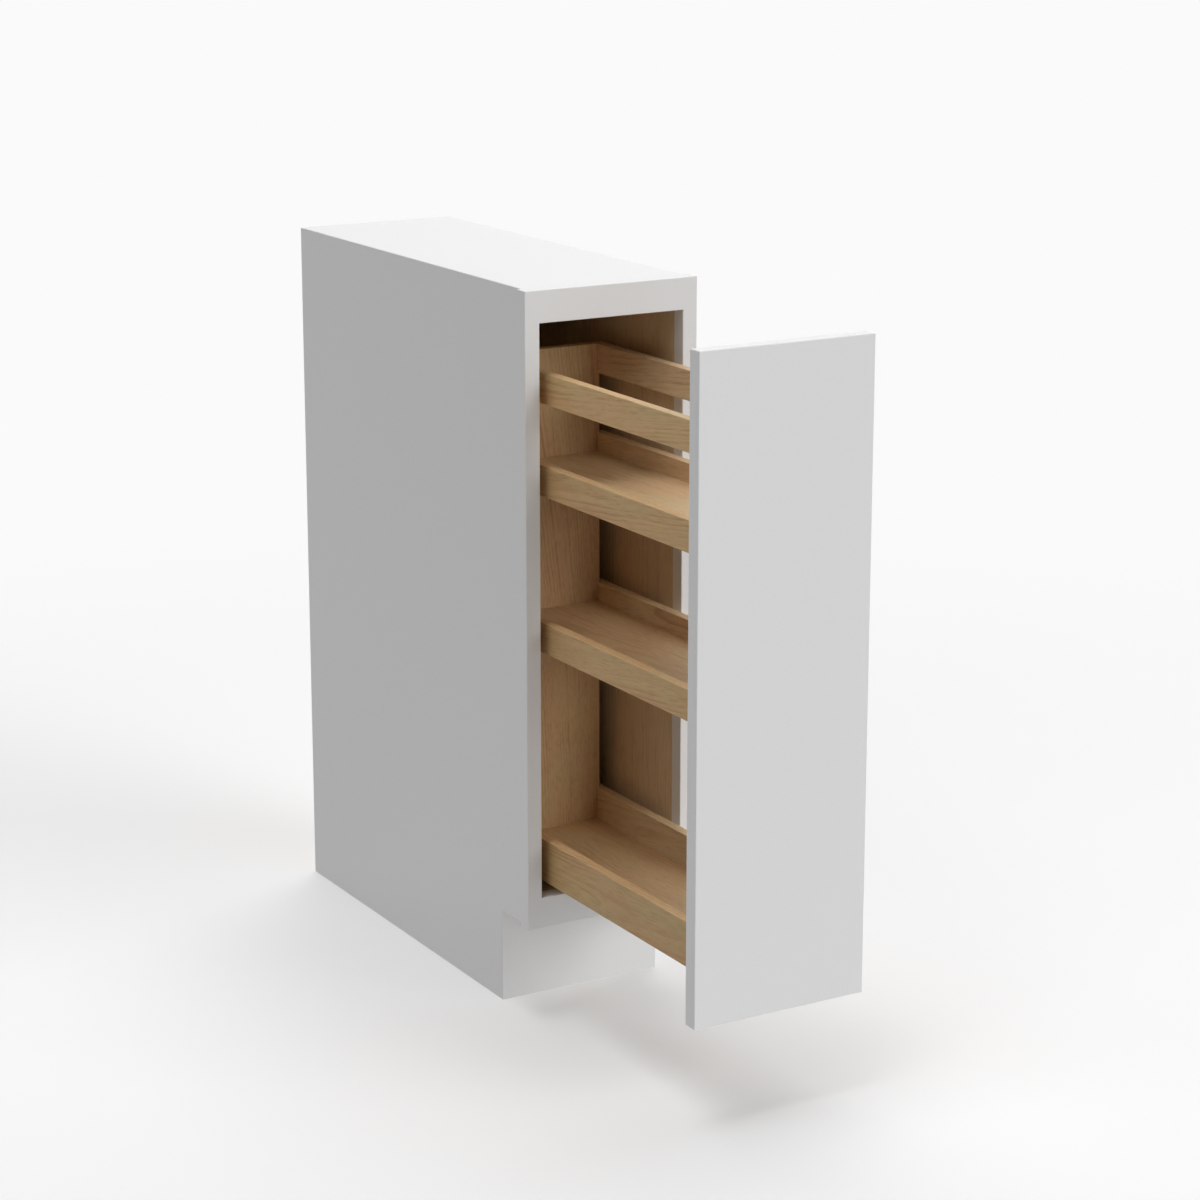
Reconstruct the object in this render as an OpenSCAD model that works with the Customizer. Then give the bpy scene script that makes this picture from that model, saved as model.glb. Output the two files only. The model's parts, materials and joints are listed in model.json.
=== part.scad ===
// Narrow face-frame base cabinet with a pull-out rack behind one overlay door.
// X runs across the cabinet from its centre, Y is 0 at the wall and negative
// towards the front, Z is 0 at the floor. All sizes are in millimetres.

/* [Cabinet box] */
// Width over the face frame
cabinet_w = 228.6; // [205:0.1:320]
// Height from the floor to the top
cabinet_h = 876.3; // [780:0.1:940]
// Depth from the wall to the front of the face frame
cabinet_d = 609.6; // [560:0.1:700]
// Thickness of the side, top, floor and toe boards
panel_t = 12.7; // [12:0.1:16]
// Thickness of the back board
back_t = 6.35; // [4:0.05:12]
// Depth of the grooves and rabbets in the side boards
groove_d = 6.35; // [3:0.05:8]
// Height of the toe space under the face frame
toe_h = 114.3; // [90:0.1:140]
// Depth of the toe space behind the face-frame front
toe_d = 76.2; // [50:0.1:100]

/* [Hanging rails] */
// Thickness of the two hanging rails
hanging_t = 19.05; // [15:0.05:22]
// Height of the two hanging rails
hanging_h = 88.9; // [60:0.1:110]
// Distance between the two wall screw holes
wall_hole_spacing = 101.6; // [60:0.1:140]
// Radius of a wall screw hole
wall_hole_r = 2.5; // [2:0.1:4]

/* [Toe kick blocks] */
// Leg of the triangular glue block behind the toe board
block_leg = 28; // [15:0.5:40]
// Gap between the floor and the foot of a glue block
block_rise = 15; // [5:0.5:40]

/* [Face frame] */
// Thickness of the face frame
frame_t = 19.05; // [16:0.05:25]
// Width of each stile
stile_w = 19.05; // [17:0.05:30]
// Height of the top rail
top_rail_h = 38.1; // [30:0.1:60]
// Height of the bottom rail
bottom_rail_h = 38.1; // [30:0.1:50]
// Radius of the face-frame dowels
frame_dowel_r = 3; // [2:0.1:4]
// Depth of a frame dowel in the stile and in the rail
frame_dowel_bite = 12; // [8:0.5:14]

/* [Door] */
// Thickness of the door
door_t = 19.05; // [18:0.05:25]
// Bare width of frame beside the closed door, each side
door_side_reveal = 4; // [1:0.1:10]
// Bare height of frame below the closed door
door_bottom_reveal = 4.2; // [1:0.1:20]
// Bare height of frame above the closed door
door_top_reveal = 12.9; // [1:0.1:20]
// Gap between the closed door and the face frame
door_gap = 2; // [1.5:0.1:4]
// Radius of a door bumper
bumper_r = 4; // [3:0.1:6]
// Air left between a bumper and the face frame when the door is shut
bumper_air = 0.4; // [0.3:0.1:1]
// Distance of the bumpers from the top and bottom edges of the door
bumper_inset = 14; // [8:0.5:30]

/* [Rack] */
// Distance that the rack is drawn out of the cabinet
pulled_out = 343; // [0:0.5:480]
// Length of the rack past the closed end of its runners
rack_tail = 5.8; // [2:0.1:12]
// Clearance between the rack and each stile
rack_side_gap = 12.7; // [6:0.1:20]
// Clearance between the rack and the top rail
rack_head_gap = 60.2; // [20:0.1:80]
// Thickness of the front and back boards of the rack
end_t = 12.7; // [11:0.1:16]
// Thickness of the tray board and the shelves
shelf_t = 12.7; // [11:0.1:16]
// Thickness of the rack rails
rail_t = 12.7; // [11:0.1:16]
// Height of the shelf rails and guard rails
rail_h = 36; // [30:0.1:60]
// Height of the tray rails
tray_rail_h = 52.4; // [40:0.1:80]
// Depth of the grooves that take the end boards and shelves
rack_groove_d = 3.2; // [2:0.1:5]
// Distance from the rack top down to the underside of the lower shelf
lower_shelf_drop = 331.6; // [280:0.1:380]
// Distance from the rack top down to the underside of the upper shelf
upper_shelf_drop = 144.7; // [125:0.1:200]
// Radius of the rack dowels
rack_dowel_r = 2.5; // [2:0.1:3.5]
// Depth of a rack dowel in a rail
rail_bite = 6; // [4:0.5:7]
// Depth of a rack dowel in an end board or a shelf
board_bite = 12; // [8:0.5:20]
// Number of dowels between a rail and its shelf
shelf_dowels_per_rail = 3; // [2:1:6]
// Distance of the outer shelf dowels from the shelf ends
shelf_dowel_inset = 50; // [30:0.5:100]

/* [Runners] */
// Length of every runner section, which is also the rack's travel
runner_len = 500; // [480:0.5:560]
// Width of the cabinet runner
runner_w = 45; // [42:0.1:50]
// Height of the runner from the cabinet floor to the tray
runner_h = 12.7; // [12.5:0.1:16]
// Distance from the side of the rack to the middle of its runner
runner_inset = 45.05; // [30:0.05:55]
// Distance of the runner front from the face-frame front
runner_setback = 4; // [0:0.1:7]
// Thickness of the flat web of each runner section
web_t = 1.2; // [0.8:0.1:1.4]
// Thickness of the raceway walls of the cabinet and rack runners
race_t = 1.9; // [1.5:0.1:2.4]
// Thickness of the raceway walls of the middle runner
middle_race_t = 2.4; // [2.2:0.1:3]
// Gap between two facing raceway walls
race_gap = 3.2; // [3:0.1:3.8]
// Radius of a ball
ball_r = 2; // [1.95:0.01:2.1]
// Distance between neighbouring balls
ball_pitch = 20; // [8:0.5:40]
// Thickness of a ball cage
cage_t = 0.6; // [0.4:0.05:0.8]
// Length of a ball cage
cage_len = 240; // [120:0.5:240]
// Free height between a cage and the webs above and below it
cage_air = 0.3; // [0.2:0.05:0.4]

/* [Fasteners] */
// Shank radius of a door screw
door_screw_r = 2; // [1.5:0.1:2.5]
// Length of a door screw
door_screw_len = 25.4; // [20:0.1:30]
// Distance from the side of the rack to a column of door screws
door_screw_inset = 37.55; // [25:0.05:55]
// Shank radius of a runner screw
runner_screw_r = 1.75; // [1.2:0.05:2]
// Length of a runner screw
runner_screw_len = 11.5; // [8:0.1:12]
// Distance of the outer runner screws from the runner ends
runner_screw_inset = 50; // [30:0.5:100]
// Shank radius of a back nail
nail_r = 1; // [0.8:0.05:1.4]
// Length of a back nail
nail_len = 25; // [15:0.5:35]
// Number of nails along each side of the back board
nails_per_side = 5; // [3:1:9]

/* [Clearances] */
// Radial play of a dowel, nail or screw in its hole
pin_play = 0.05; // [0.02:0.01:0.1]
// Play of a ball in its raceway and in its cage
ball_play = 0.05; // [0.02:0.01:0.1]
// Free depth past the tip of a dowel, nail or screw
tip_play = 0.5; // [0.2:0.1:1]

/* [Hidden] */
$fn = 48;

// Finishes
paint_colour = "#e9e9e8";
wood_colour = "#c8a67c";
steel_colour = "#b9bcc0";
cage_colour = "#8f9499";
bumper_colour = "#d9dcdc";

// Length by which a cut runs past the face that it opens
past = 1;

// Cabinet planes
front_y = -cabinet_d;
frame_back_y = front_y + frame_t;
opening_w = cabinet_w - 2 * stile_w;
opening_z0 = toe_h + bottom_rail_h;
opening_z1 = cabinet_h - top_rail_h;
floor_under_z = opening_z0 - panel_t;
top_under_z = cabinet_h - panel_t;
side_x0 = opening_w / 2;
side_x1 = side_x0 + panel_t;
groove_x = side_x0 + groove_d;
toe_y = front_y + toe_d;
frame_mid_y = front_y + frame_t / 2;
wall_hole_z = top_under_z - hanging_h / 2;
nail_x = side_x0 + groove_d / 2;

// Head of a back nail, as multiples of its shank radius, and the first nail's height
nail_head_r = 2.2 * nail_r;
nail_head_t = 0.8 * nail_r;
nail_margin = 40;

// Form of a wood screw, as multiples of its shank radius, and the depth at which
// its cross recess starts, as a share of the head's height
screw_head = 1.8;
screw_tip = 2;
screw_point = 0.15;
cross_reach = 0.9;
cross_half_w = 0.2;
cross_floor = 0.6;

// Places of the two dowels in a rail of the face frame, as shares of its height
frame_dowel_parts = [0.25, 0.75];

// Door planes
door_back_y = front_y - door_gap - pulled_out;
door_w = cabinet_w - 2 * door_side_reveal;
door_z0 = toe_h + door_bottom_reveal;
door_z1 = cabinet_h - door_top_reveal;
bumper_x = (door_w / 2 + side_x0) / 2;
bumper_t = door_gap - bumper_air;

// Rack planes
rack_y0 = door_back_y;
rack_y1 = front_y - pulled_out + runner_setback + runner_len + rack_tail;
rack_z0 = opening_z0 + runner_h;
rack_h = opening_z1 - rack_head_gap - rack_z0;
rack_x = opening_w / 2 - rack_side_gap;
shelf_x = rack_x - rail_t;
end_x = shelf_x + rack_groove_d;
guard_rise = rack_h - rail_h;
runner_x = rack_x - runner_inset;
door_screw_x = rack_x - door_screw_inset;
lower_shelf_rise = rack_h - lower_shelf_drop;
upper_shelf_rise = rack_h - upper_shelf_drop;
shelf_rises = [0, lower_shelf_rise, upper_shelf_rise];
shelf_y0 = rack_y0 + end_t - rack_groove_d;
shelf_y1 = rack_y1 - end_t + rack_groove_d;
shelf_dowel_step = (shelf_y1 - shelf_y0 - 2 * shelf_dowel_inset) / (shelf_dowels_per_rail - 1);

// A door screw stands at mid-height of each space of the rack.
door_screw_rises = [
    (shelf_t + lower_shelf_rise) / 2,
    (shelf_t + lower_shelf_rise + upper_shelf_rise) / 2,
    (shelf_t + upper_shelf_rise + guard_rise) / 2
];

// Runner section, from its outer wall inwards
race_x1 = runner_w / 2 - race_t;
ball_x1 = race_x1 - race_gap / 2;
middle_x = race_x1 - race_gap;
race_x2 = middle_x - middle_race_t;
ball_x2 = race_x2 - race_gap / 2;
rack_runner_x = race_x2 - race_gap;

// Runner section, from the cabinet floor upwards
lower_cage_z = web_t + cage_air;
middle_z = lower_cage_z + cage_t + cage_air;
upper_cage_z = middle_z + web_t + cage_air;
rack_leg_z = upper_cage_z + cage_t + cage_air;
wall_top_z = runner_h - web_t - 2 * cage_air;
ball_z = (rack_leg_z + wall_top_z) / 2 - cage_air;
cage_top_z = ball_z + ball_r + 2 * cage_t;

// Runner places along the travel: the middle section moves half as far as the rack,
// the lower cage a quarter and the upper cage three quarters.
runner_y0 = front_y + runner_setback;
runner_mid_y = runner_y0 + runner_len / 2;
balls_per_row = floor((cage_len - 4 * ball_r) / ball_pitch) + 1;
runner_screw_places = [runner_screw_inset, runner_len / 2, runner_len - runner_screw_inset];
sides = [-1, 1];

// Box between two opposite corners
module block(low, high) {
    translate(low)
        cube(high - low);
}

// Mirrors its child to the left half where side is -1.
module on_side(side) {
    mirror([side < 0 ? 1 : 0, 0, 0])
        children();
}

// Sweeps a profile, drawn as seen from the front, from y0 back over a length.
module sweep_back(y0, length) {
    translate([0, y0 + length, 0])
        rotate([90, 0, 0])
            linear_extrude(length)
                children();
}

// Pin along X that starts at x and runs outwards
module pin_x(x, y, z, r, length) {
    translate([x, y, z])
        rotate([0, 90, 0])
            cylinder(r = r, h = length);
}

// Pin along Y that starts at y and runs towards the wall
module pin_y(x, y, z, r, length) {
    translate([x, y + length, z])
        rotate([90, 0, 0])
            cylinder(r = r, h = length);
}

// Countersunk wood screw, head at z = 0 and tip pointing down
module wood_screw(r, length) {
    head_r = screw_head * r;
    head_h = head_r - r;
    tip_h = screw_tip * r;
    difference() {
        union() {
            translate([0, 0, -head_h])
                cylinder(r1 = r, r2 = head_r, h = head_h);
            translate([0, 0, tip_h - length])
                cylinder(r = r, h = length - tip_h - head_h);
            translate([0, 0, -length])
                cylinder(r1 = screw_point * r, r2 = r, h = tip_h);
        }
        for (turn = [0, 90])
            rotate([0, 0, turn])
                translate([-cross_reach * r, -cross_half_w * r, -cross_floor * head_h])
                    cube([2 * cross_reach * r, 2 * cross_half_w * r, head_h]);
    }
}

// Hole for the countersunk wood screw, in a board whose face is at z = 0
module wood_screw_hole(r, length) {
    head_r = screw_head * r;
    head_h = head_r - r;
    translate([0, 0, -head_h])
        cylinder(r1 = r + pin_play, r2 = head_r + pin_play, h = head_h);
    translate([0, 0, -length - tip_play])
        cylinder(r = r + pin_play, h = length + tip_play);
    cylinder(r = head_r + pin_play, h = past);
}

// Side board on the right: toe notch, floor groove, top and back rabbets, nail holes
module side_shape() {
    difference() {
        block([side_x0, frame_back_y, 0], [side_x1, 0, cabinet_h]);
        block([side_x0 - past, frame_back_y - past, -past], [side_x1 + past, toe_y, toe_h]);
        block([side_x0 - past, frame_back_y - past, floor_under_z], [groove_x, -back_t, opening_z0]);
        block([side_x0 - past, frame_back_y - past, top_under_z], [groove_x, past, cabinet_h + past]);
        block([side_x0 - past, -back_t, -past], [groove_x, past, top_under_z]);
        for (z = nail_heights())
            pin_y(nail_x, -nail_len - tip_play, z, nail_r + pin_play, nail_len);
    }
}

function nail_heights() = [
    for (i = [0 : nails_per_side - 1])
        nail_margin + i * (top_under_z - 2 * nail_margin) / (nails_per_side - 1)
];

module left_side_panel() {
    color(paint_colour)
        on_side(-1)
            side_shape();
}

module right_side_panel() {
    color(paint_colour)
        side_shape();
}

// Floor board, held in the side grooves and drilled for the runner screws
module cabinet_floor() {
    color(wood_colour)
        difference() {
            block([-groove_x, frame_back_y, floor_under_z], [groove_x, -back_t, opening_z0]);
            for (side = sides, place = runner_screw_places)
                translate([side * runner_x, runner_y0 + place, opening_z0 + web_t])
                    wood_screw_hole(runner_screw_r, runner_screw_len);
        }
}

module top_panel() {
    color(paint_colour)
        block([-groove_x, frame_back_y, top_under_z], [groove_x, 0, cabinet_h]);
}

module back_panel() {
    color(wood_colour)
        difference() {
            block([-groove_x, -back_t, 0], [groove_x, 0, top_under_z]);
            for (side = sides, z = nail_heights()) {
                pin_y(side * nail_x, -back_t - past, z, nail_r + pin_play, back_t + 2 * past);
                pin_y(side * nail_x, -nail_head_t, z, nail_head_r + pin_play, nail_head_t + past);
            }
            wall_holes(-back_t - past, back_t + 2 * past);
        }
}

// Pair of holes for the screws that hold the cabinet to the wall
module wall_holes(y, length) {
    for (side = sides)
        pin_y(side * wall_hole_spacing / 2, y, wall_hole_z, wall_hole_r, length);
}

module upper_hanging_rail() {
    color(wood_colour)
        difference() {
            block([-side_x0, -back_t - hanging_t, top_under_z - hanging_h],
                  [side_x0, -back_t, top_under_z]);
            wall_holes(-back_t - hanging_t - past, hanging_t + 2 * past);
        }
}

module lower_hanging_rail() {
    color(wood_colour)
        block([-side_x0, -back_t - hanging_t, opening_z0], [side_x0, -back_t, opening_z0 + hanging_h]);
}

module toe_kick_board() {
    color(paint_colour)
        block([-side_x0, toe_y, 0], [side_x0, toe_y + panel_t, floor_under_z]);
}

module toe_kick_blocks() {
    color(wood_colour)
        for (side = sides)
            on_side(side)
                translate([side_x0, toe_y + panel_t, block_rise])
                    linear_extrude(floor_under_z - block_rise)
                        polygon([[0, 0], [-block_leg, 0], [0, block_leg]]);
}

// Places of the face-frame dowels: two at each end of both rails
function frame_dowel_heights() = [
    for (rail = [[toe_h, bottom_rail_h], [opening_z1, top_rail_h]], part = frame_dowel_parts)
        rail[0] + part * rail[1]
];

module frame_dowel_pins(extra_r, extra_length) {
    for (side = sides, z = frame_dowel_heights())
        on_side(side)
            pin_x(side_x0 - frame_dowel_bite - extra_length, frame_mid_y, z,
                  frame_dowel_r + extra_r, 2 * (frame_dowel_bite + extra_length));
}

module stile_shape() {
    difference() {
        block([side_x0, front_y, toe_h], [cabinet_w / 2, frame_back_y, cabinet_h]);
        frame_dowel_pins(pin_play, tip_play);
    }
}

module left_stile() {
    color(paint_colour)
        on_side(-1)
            stile_shape();
}

module right_stile() {
    color(paint_colour)
        stile_shape();
}

module frame_rail(z, height) {
    difference() {
        block([-side_x0, front_y, z], [side_x0, frame_back_y, z + height]);
        frame_dowel_pins(pin_play, tip_play);
    }
}

module top_rail() {
    color(paint_colour)
        frame_rail(opening_z1, top_rail_h);
}

module bottom_rail() {
    color(paint_colour)
        frame_rail(toe_h, bottom_rail_h);
}

module frame_dowels() {
    color(wood_colour)
        frame_dowel_pins(0, 0);
}

module back_nails() {
    color(steel_colour)
        for (side = sides, z = nail_heights()) {
            pin_y(side * nail_x, -nail_len, z, nail_r, nail_len);
            pin_y(side * nail_x, -nail_head_t, z, nail_head_r, nail_head_t);
        }
}

// Turns a screw so that its head faces the wall and its tip the front.
module door_screw_places() {
    for (side = sides, rise = door_screw_rises)
        translate([side * door_screw_x, rack_y0 + end_t, rack_z0 + rise])
            rotate([-90, 0, 0])
                children();
}

module door_slab() {
    color(paint_colour)
        difference() {
            block([-door_w / 2, door_back_y - door_t, door_z0], [door_w / 2, door_back_y, door_z1]);
            door_screw_places()
                wood_screw_hole(door_screw_r, door_screw_len);
        }
}

module door_bumpers() {
    color(bumper_colour)
        for (side = sides, z = [door_z0 + bumper_inset, door_z1 - bumper_inset])
            pin_y(side * bumper_x, door_back_y, z, bumper_r, bumper_t);
}

module door_screws() {
    color(steel_colour)
        door_screw_places()
            wood_screw(door_screw_r, door_screw_len);
}

// Dowels between the rail ends and the end boards, at mid-height of each rail
module rail_dowel_pins(extra_r, extra_length) {
    heights = [
        tray_rail_h / 2,
        lower_shelf_rise + shelf_t + (rail_h - shelf_t) / 2,
        upper_shelf_rise + shelf_t + (rail_h - shelf_t) / 2,
        guard_rise + rail_h / 2
    ];
    for (side = sides, y = [rack_y0 + end_t / 2, rack_y1 - end_t / 2], rise = heights)
        on_side(side)
            pin_x(end_x - board_bite - extra_length, y, rack_z0 + rise,
                  rack_dowel_r + extra_r, board_bite + rail_bite + 2 * extra_length);
}

// Dowels between the rails and the edges of the shelves
module shelf_dowel_pins(extra_r, extra_length) {
    for (side = sides, i = [0 : shelf_dowels_per_rail - 1], rise = shelf_rises)
        on_side(side)
            pin_x(shelf_x - board_bite - extra_length,
                  shelf_y0 + shelf_dowel_inset + i * shelf_dowel_step,
                  rack_z0 + rise + shelf_t / 2,
                  rack_dowel_r + extra_r, board_bite + rail_bite + 2 * extra_length);
}

// The shelf boards, drawn as the spaces that they fill
module shelf_blank(rise) {
    block([-shelf_x, shelf_y0, rack_z0 + rise], [shelf_x, shelf_y1, rack_z0 + rise + shelf_t]);
}

module shelf_board(rise) {
    difference() {
        shelf_blank(rise);
        shelf_dowel_pins(pin_play, tip_play);
        if (rise == 0)
            tray_screw_holes();
    }
}

module tray_screw_holes() {
    for (side = sides, place = runner_screw_places)
        translate([side * runner_x, runner_y0 - pulled_out + place, rack_z0 - web_t])
            rotate([180, 0, 0])
                wood_screw_hole(runner_screw_r, runner_screw_len);
}

module end_board(y) {
    difference() {
        block([-end_x, y, rack_z0], [end_x, y + end_t, rack_z0 + rack_h]);
        for (rise = shelf_rises)
            shelf_blank(rise);
        rail_dowel_pins(pin_play, tip_play);
    }
}

module rack_front_board() {
    color(wood_colour)
        difference() {
            end_board(rack_y0);
            door_screw_places()
                wood_screw_hole(door_screw_r, door_screw_len);
        }
}

module rack_back_board() {
    color(wood_colour)
        end_board(rack_y1 - end_t);
}

module tray_board() {
    color(wood_colour)
        shelf_board(0);
}

module lower_shelf() {
    color(wood_colour)
        shelf_board(lower_shelf_rise);
}

module upper_shelf() {
    color(wood_colour)
        shelf_board(upper_shelf_rise);
}

// Rack rail with its ends rabbeted over the end boards
module rack_rail(side, rise, height) {
    color(wood_colour)
        difference() {
            on_side(side)
                difference() {
                    block([shelf_x, rack_y0, rack_z0 + rise], [rack_x, rack_y1, rack_z0 + rise + height]);
                    for (y = [rack_y0 - past, rack_y1 - end_t])
                        block([shelf_x - past, y, rack_z0 + rise - past],
                              [end_x, y + end_t + past, rack_z0 + rise + height + past]);
                }
            rail_dowel_pins(pin_play, tip_play);
            shelf_dowel_pins(pin_play, tip_play);
        }
}

module tray_rail_left() {
    rack_rail(-1, 0, tray_rail_h);
}

module tray_rail_right() {
    rack_rail(1, 0, tray_rail_h);
}

module lower_rail_left() {
    rack_rail(-1, lower_shelf_rise, rail_h);
}

module lower_rail_right() {
    rack_rail(1, lower_shelf_rise, rail_h);
}

module upper_rail_left() {
    rack_rail(-1, upper_shelf_rise, rail_h);
}

module upper_rail_right() {
    rack_rail(1, upper_shelf_rise, rail_h);
}

module guard_rail_left() {
    rack_rail(-1, guard_rise, rail_h);
}

module guard_rail_right() {
    rack_rail(1, guard_rise, rail_h);
}

module rail_dowels() {
    color(wood_colour)
        rail_dowel_pins(0, 0);
}

module shelf_dowels() {
    color(wood_colour)
        shelf_dowel_pins(0, 0);
}

// Channel profile, seen from the front: a web on web_z and two walls that end at lip_z
module channel(half_w, web_z, lip_z, wall) {
    inner_w = half_w - wall;
    inner_z = web_z + sign(lip_z - web_z) * web_t;
    polygon([
        [-half_w, web_z], [half_w, web_z], [half_w, lip_z], [inner_w, lip_z],
        [inner_w, inner_z], [-inner_w, inner_z], [-inner_w, lip_z], [-half_w, lip_z]
    ]);
}

// Round raceway grooves at x on both walls
module raceways(x) {
    for (side = sides)
        translate([side * x, ball_z])
            circle(r = ball_r + ball_play);
}

module at_runner(side) {
    translate([side * runner_x, 0, opening_z0])
        children();
}

module cabinet_runner(side) {
    color(steel_colour)
        at_runner(side)
            difference() {
                sweep_back(runner_y0, runner_len)
                    difference() {
                        channel(runner_w / 2, 0, wall_top_z, race_t);
                        raceways(ball_x1);
                    }
                for (place = runner_screw_places)
                    translate([0, runner_y0 + place, web_t])
                        wood_screw_hole(runner_screw_r, runner_screw_len);
            }
}

module middle_runner(side) {
    color(steel_colour)
        at_runner(side)
            sweep_back(runner_y0 - pulled_out / 2, runner_len)
                difference() {
                    channel(middle_x, middle_z, wall_top_z, middle_race_t);
                    raceways(ball_x1);
                    raceways(ball_x2);
                }
}

module rack_runner(side) {
    color(steel_colour)
        at_runner(side)
            difference() {
                sweep_back(runner_y0 - pulled_out, runner_len)
                    difference() {
                        channel(rack_runner_x, runner_h, rack_leg_z, race_t);
                        raceways(ball_x2);
                    }
                for (place = runner_screw_places)
                    translate([0, runner_y0 - pulled_out + place, runner_h - web_t])
                        rotate([180, 0, 0])
                            wood_screw_hole(runner_screw_r, runner_screw_len);
            }
}

// Middle of a cage along the travel, for the share of the travel that it makes
function cage_mid_y(share) = runner_mid_y - share * pulled_out;

function ball_y(share, i) = cage_mid_y(share) + (i - (balls_per_row - 1) / 2) * ball_pitch;

// U-shaped strip with a round hole for each ball
module ball_cage(side, x, z, share) {
    color(cage_colour)
        at_runner(side)
            difference() {
                sweep_back(cage_mid_y(share) - cage_len / 2, cage_len) {
                    translate([-x - cage_t / 2, z])
                        square([2 * x + cage_t, cage_t]);
                    for (hand = sides)
                        translate([hand * x - cage_t / 2, z])
                            square([cage_t, cage_top_z - z]);
                }
                for (hand = sides, i = [0 : balls_per_row - 1])
                    translate([hand * x - cage_t, ball_y(share, i), ball_z])
                        rotate([0, 90, 0])
                            cylinder(r = ball_r + ball_play, h = 2 * cage_t);
            }
}

module ball_rows(side, x, share) {
    color(steel_colour)
        at_runner(side)
            for (hand = sides, i = [0 : balls_per_row - 1])
                translate([hand * x, ball_y(share, i), ball_z])
                    sphere(r = ball_r);
}

module lower_cage(side) {
    ball_cage(side, ball_x1, lower_cage_z, 1 / 4);
}

module upper_cage(side) {
    ball_cage(side, ball_x2, upper_cage_z, 3 / 4);
}

module runner_floor_screws() {
    color(steel_colour)
        for (side = sides, place = runner_screw_places)
            translate([side * runner_x, runner_y0 + place, opening_z0 + web_t])
                wood_screw(runner_screw_r, runner_screw_len);
}

module runner_tray_screws() {
    color(steel_colour)
        for (side = sides, place = runner_screw_places)
            translate([side * runner_x, runner_y0 - pulled_out + place, rack_z0 - web_t])
                rotate([180, 0, 0])
                    wood_screw(runner_screw_r, runner_screw_len);
}

left_side_panel();
right_side_panel();
cabinet_floor();
top_panel();
back_panel();
upper_hanging_rail();
lower_hanging_rail();
toe_kick_board();
toe_kick_blocks();
left_stile();
right_stile();
top_rail();
bottom_rail();
frame_dowels();
back_nails();
door_slab();
door_bumpers();
door_screws();
rack_front_board();
rack_back_board();
tray_board();
lower_shelf();
upper_shelf();
tray_rail_left();
tray_rail_right();
lower_rail_left();
lower_rail_right();
upper_rail_left();
upper_rail_right();
guard_rail_left();
guard_rail_right();
rail_dowels();
shelf_dowels();
cabinet_runner(-1);  // left_cabinet_runner
middle_runner(-1);  // left_middle_runner
rack_runner(-1);  // left_rack_runner
lower_cage(-1);  // left_lower_cage
ball_rows(-1, ball_x1, 1 / 4);  // left_lower_balls
upper_cage(-1);  // left_upper_cage
ball_rows(-1, ball_x2, 3 / 4);  // left_upper_balls
cabinet_runner(1);  // right_cabinet_runner
middle_runner(1);  // right_middle_runner
rack_runner(1);  // right_rack_runner
lower_cage(1);  // right_lower_cage
ball_rows(1, ball_x1, 1 / 4);  // right_lower_balls
upper_cage(1);  // right_upper_cage
ball_rows(1, ball_x2, 3 / 4);  // right_upper_balls
runner_floor_screws();
runner_tray_screws();
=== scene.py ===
import json
import math

import bmesh
import bpy
from bpy.props import FloatProperty, FloatVectorProperty, IntProperty, PointerProperty
from bpy.types import Operator, Panel, PropertyGroup
from mathutils import Euler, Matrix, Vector


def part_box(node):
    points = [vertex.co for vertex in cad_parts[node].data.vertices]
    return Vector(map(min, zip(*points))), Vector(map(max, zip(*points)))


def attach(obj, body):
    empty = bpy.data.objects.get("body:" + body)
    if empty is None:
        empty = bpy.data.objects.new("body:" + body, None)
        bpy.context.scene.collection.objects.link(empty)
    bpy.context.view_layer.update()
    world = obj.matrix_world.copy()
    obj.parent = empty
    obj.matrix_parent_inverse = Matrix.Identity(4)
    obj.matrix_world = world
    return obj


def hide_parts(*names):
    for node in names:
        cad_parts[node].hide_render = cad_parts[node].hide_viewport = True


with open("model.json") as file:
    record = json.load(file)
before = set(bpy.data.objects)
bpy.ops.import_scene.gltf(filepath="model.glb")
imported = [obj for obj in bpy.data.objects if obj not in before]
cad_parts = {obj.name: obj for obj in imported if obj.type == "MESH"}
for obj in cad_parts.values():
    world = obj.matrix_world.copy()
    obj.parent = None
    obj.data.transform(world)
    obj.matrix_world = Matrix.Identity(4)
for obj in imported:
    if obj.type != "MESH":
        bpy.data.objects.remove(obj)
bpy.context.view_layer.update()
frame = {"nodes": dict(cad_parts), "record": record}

bl_info = {
    "name": "Narrow pull-out base cabinet",
    "version": (1, 0, 0),
    "blender": (4, 5, 0),
    "location": "View3D > Sidebar > Cabinet",
    "description": "Finishes a narrow base cabinet with a pull-out rack around its packed frame",
    "category": "Object",
}

# Length by which a cutter runs past the face that it opens
PAST = 0.001
# Two faces nearer than this are flush
FLUSH = 0.00005
# Edges sharper than this angle are eased, and shading breaks at them
SHARP = math.radians(40)
# Neighbouring faces of a cut board that turn by less than this are joined
FLAT = math.radians(0.5)
# The part of a face's normal along an axis above which the face looks that way
FACING = 0.5
# Sides of a drilled hole, and of a round cutter for each flat face across an eased edge
HOLE_SIDES = 32
CUTTER_SIDES = 8
# The two sides of the cabinet and their direction along X
HANDS = {"left": -1, "right": 1}
# Sockets of a colour mix node, whose names repeat for each data type
MIX_A, MIX_B, MIX_RESULT = 6, 7, 2

# Turns that bring each grain direction onto the trunk's own Z axis
GRAIN_TURNS = {
    "X": Euler((0, math.radians(-90), 0)),
    "Y": Euler((math.radians(90), 0, 0)),
    "Z": Euler((0, 0, 0)),
}
# Changes of the wood's patterns in a metre: across the trunk, across it, and along it
DRIFT_PACE = (6, 6, 2.8)
WAVER_PACE = (26, 26, 9)
TONE_PACE = (14, 14, 6)
PATCH_PACE = (30, 30, 11)
STREAK_PACE = (60, 60, 4.5)
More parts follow.
